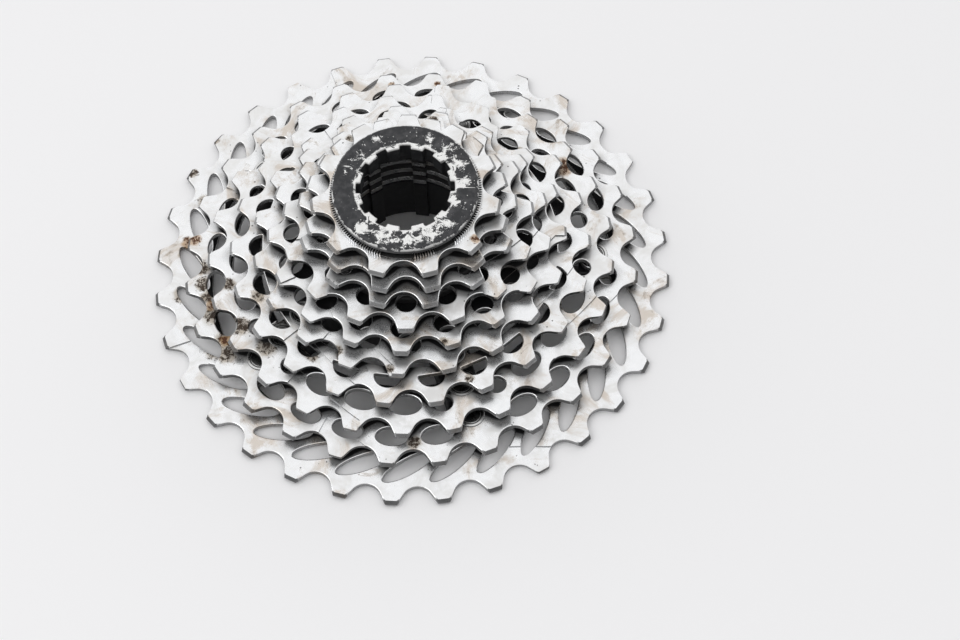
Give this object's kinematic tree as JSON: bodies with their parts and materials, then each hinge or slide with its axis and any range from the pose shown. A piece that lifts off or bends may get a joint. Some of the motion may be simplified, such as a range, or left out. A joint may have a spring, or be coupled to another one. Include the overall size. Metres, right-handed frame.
{
  "type": "cassette sprocket",
  "caption": "Stepped bicycle cassette of toothed steel sprockets on a splined bore, held by a notched black lockring.",
  "frame": {"origin": "on the cassette's axis, at the back face of the largest sprocket", "axes": "+Z along the axis from the largest sprocket towards the lockring; +X to the right in the front view"},
  "size_m": [0.1302, 0.1302, 0.0402],
  "materials": {
    "plated_steel": "bright plated, worn and stained",
    "spacer_plastic": "matt moulded",
    "spider_alloy": "black anodised",
    "rivet_steel": "turned",
    "lockring_alloy": "black anodised, scratched to bare metal"
  },
  "bodies": {
    "cluster": {"spider": "spider_alloy", "sprocket_32t": "plated_steel", "sprocket_28t": "plated_steel", "sprocket_25t": "plated_steel", "sprocket_22t": "plated_steel", "sprocket_19t": "plated_steel", "sprocket_17t": "plated_steel", "sprocket_15t": "plated_steel", "spacer_17_19": "spacer_plastic", "spacer_15_17": "spacer_plastic", "outer_rivets": "rivet_steel", "middle_rivets": "rivet_steel", "inner_rivets": "rivet_steel", "long_pins": "rivet_steel"},
    "spacer": {"spacer_13_15": "spacer_plastic"},
    "gear_13t": {"sprocket_13t": "plated_steel"},
    "gear_12t": {"sprocket_12t": "plated_steel"},
    "gear_11t": {"sprocket_11t": "plated_steel"},
    "washer": {"lock_washer": "rivet_steel"},
    "lockring": {"lockring": "lockring_alloy"}
  },
  "joints": [
    {"name": "spacer_lift", "type": "slide", "parent": "cluster", "child": "spacer", "axis": [0, 0, 1], "range_m": [0, 0.012]},
    {"name": "gear_13t_lift", "type": "slide", "parent": "spacer", "child": "gear_13t", "axis": [0, 0, 1], "range_m": [0, 0.012]},
    {"name": "gear_12t_lift", "type": "slide", "parent": "gear_13t", "child": "gear_12t", "axis": [0, 0, 1], "range_m": [0, 0.012]},
    {"name": "gear_11t_lift", "type": "slide", "parent": "gear_12t", "child": "gear_11t", "axis": [0, 0, 1], "range_m": [0, 0.012]},
    {"name": "washer_lift", "type": "slide", "parent": "gear_11t", "child": "washer", "axis": [0, 0, 1], "range_m": [0, 0.005]},
    {"name": "lockring_turn", "type": "hinge", "parent": "washer", "child": "lockring", "pos_m": [0, 0, 0.0395], "axis": [0, 0, 1], "range_deg": [0, 1800]}
  ],
  "couplings": [
    {"joint": "washer_lift", "follows": "lockring_turn", "m_per_rad": 0.00015915}
  ]
}
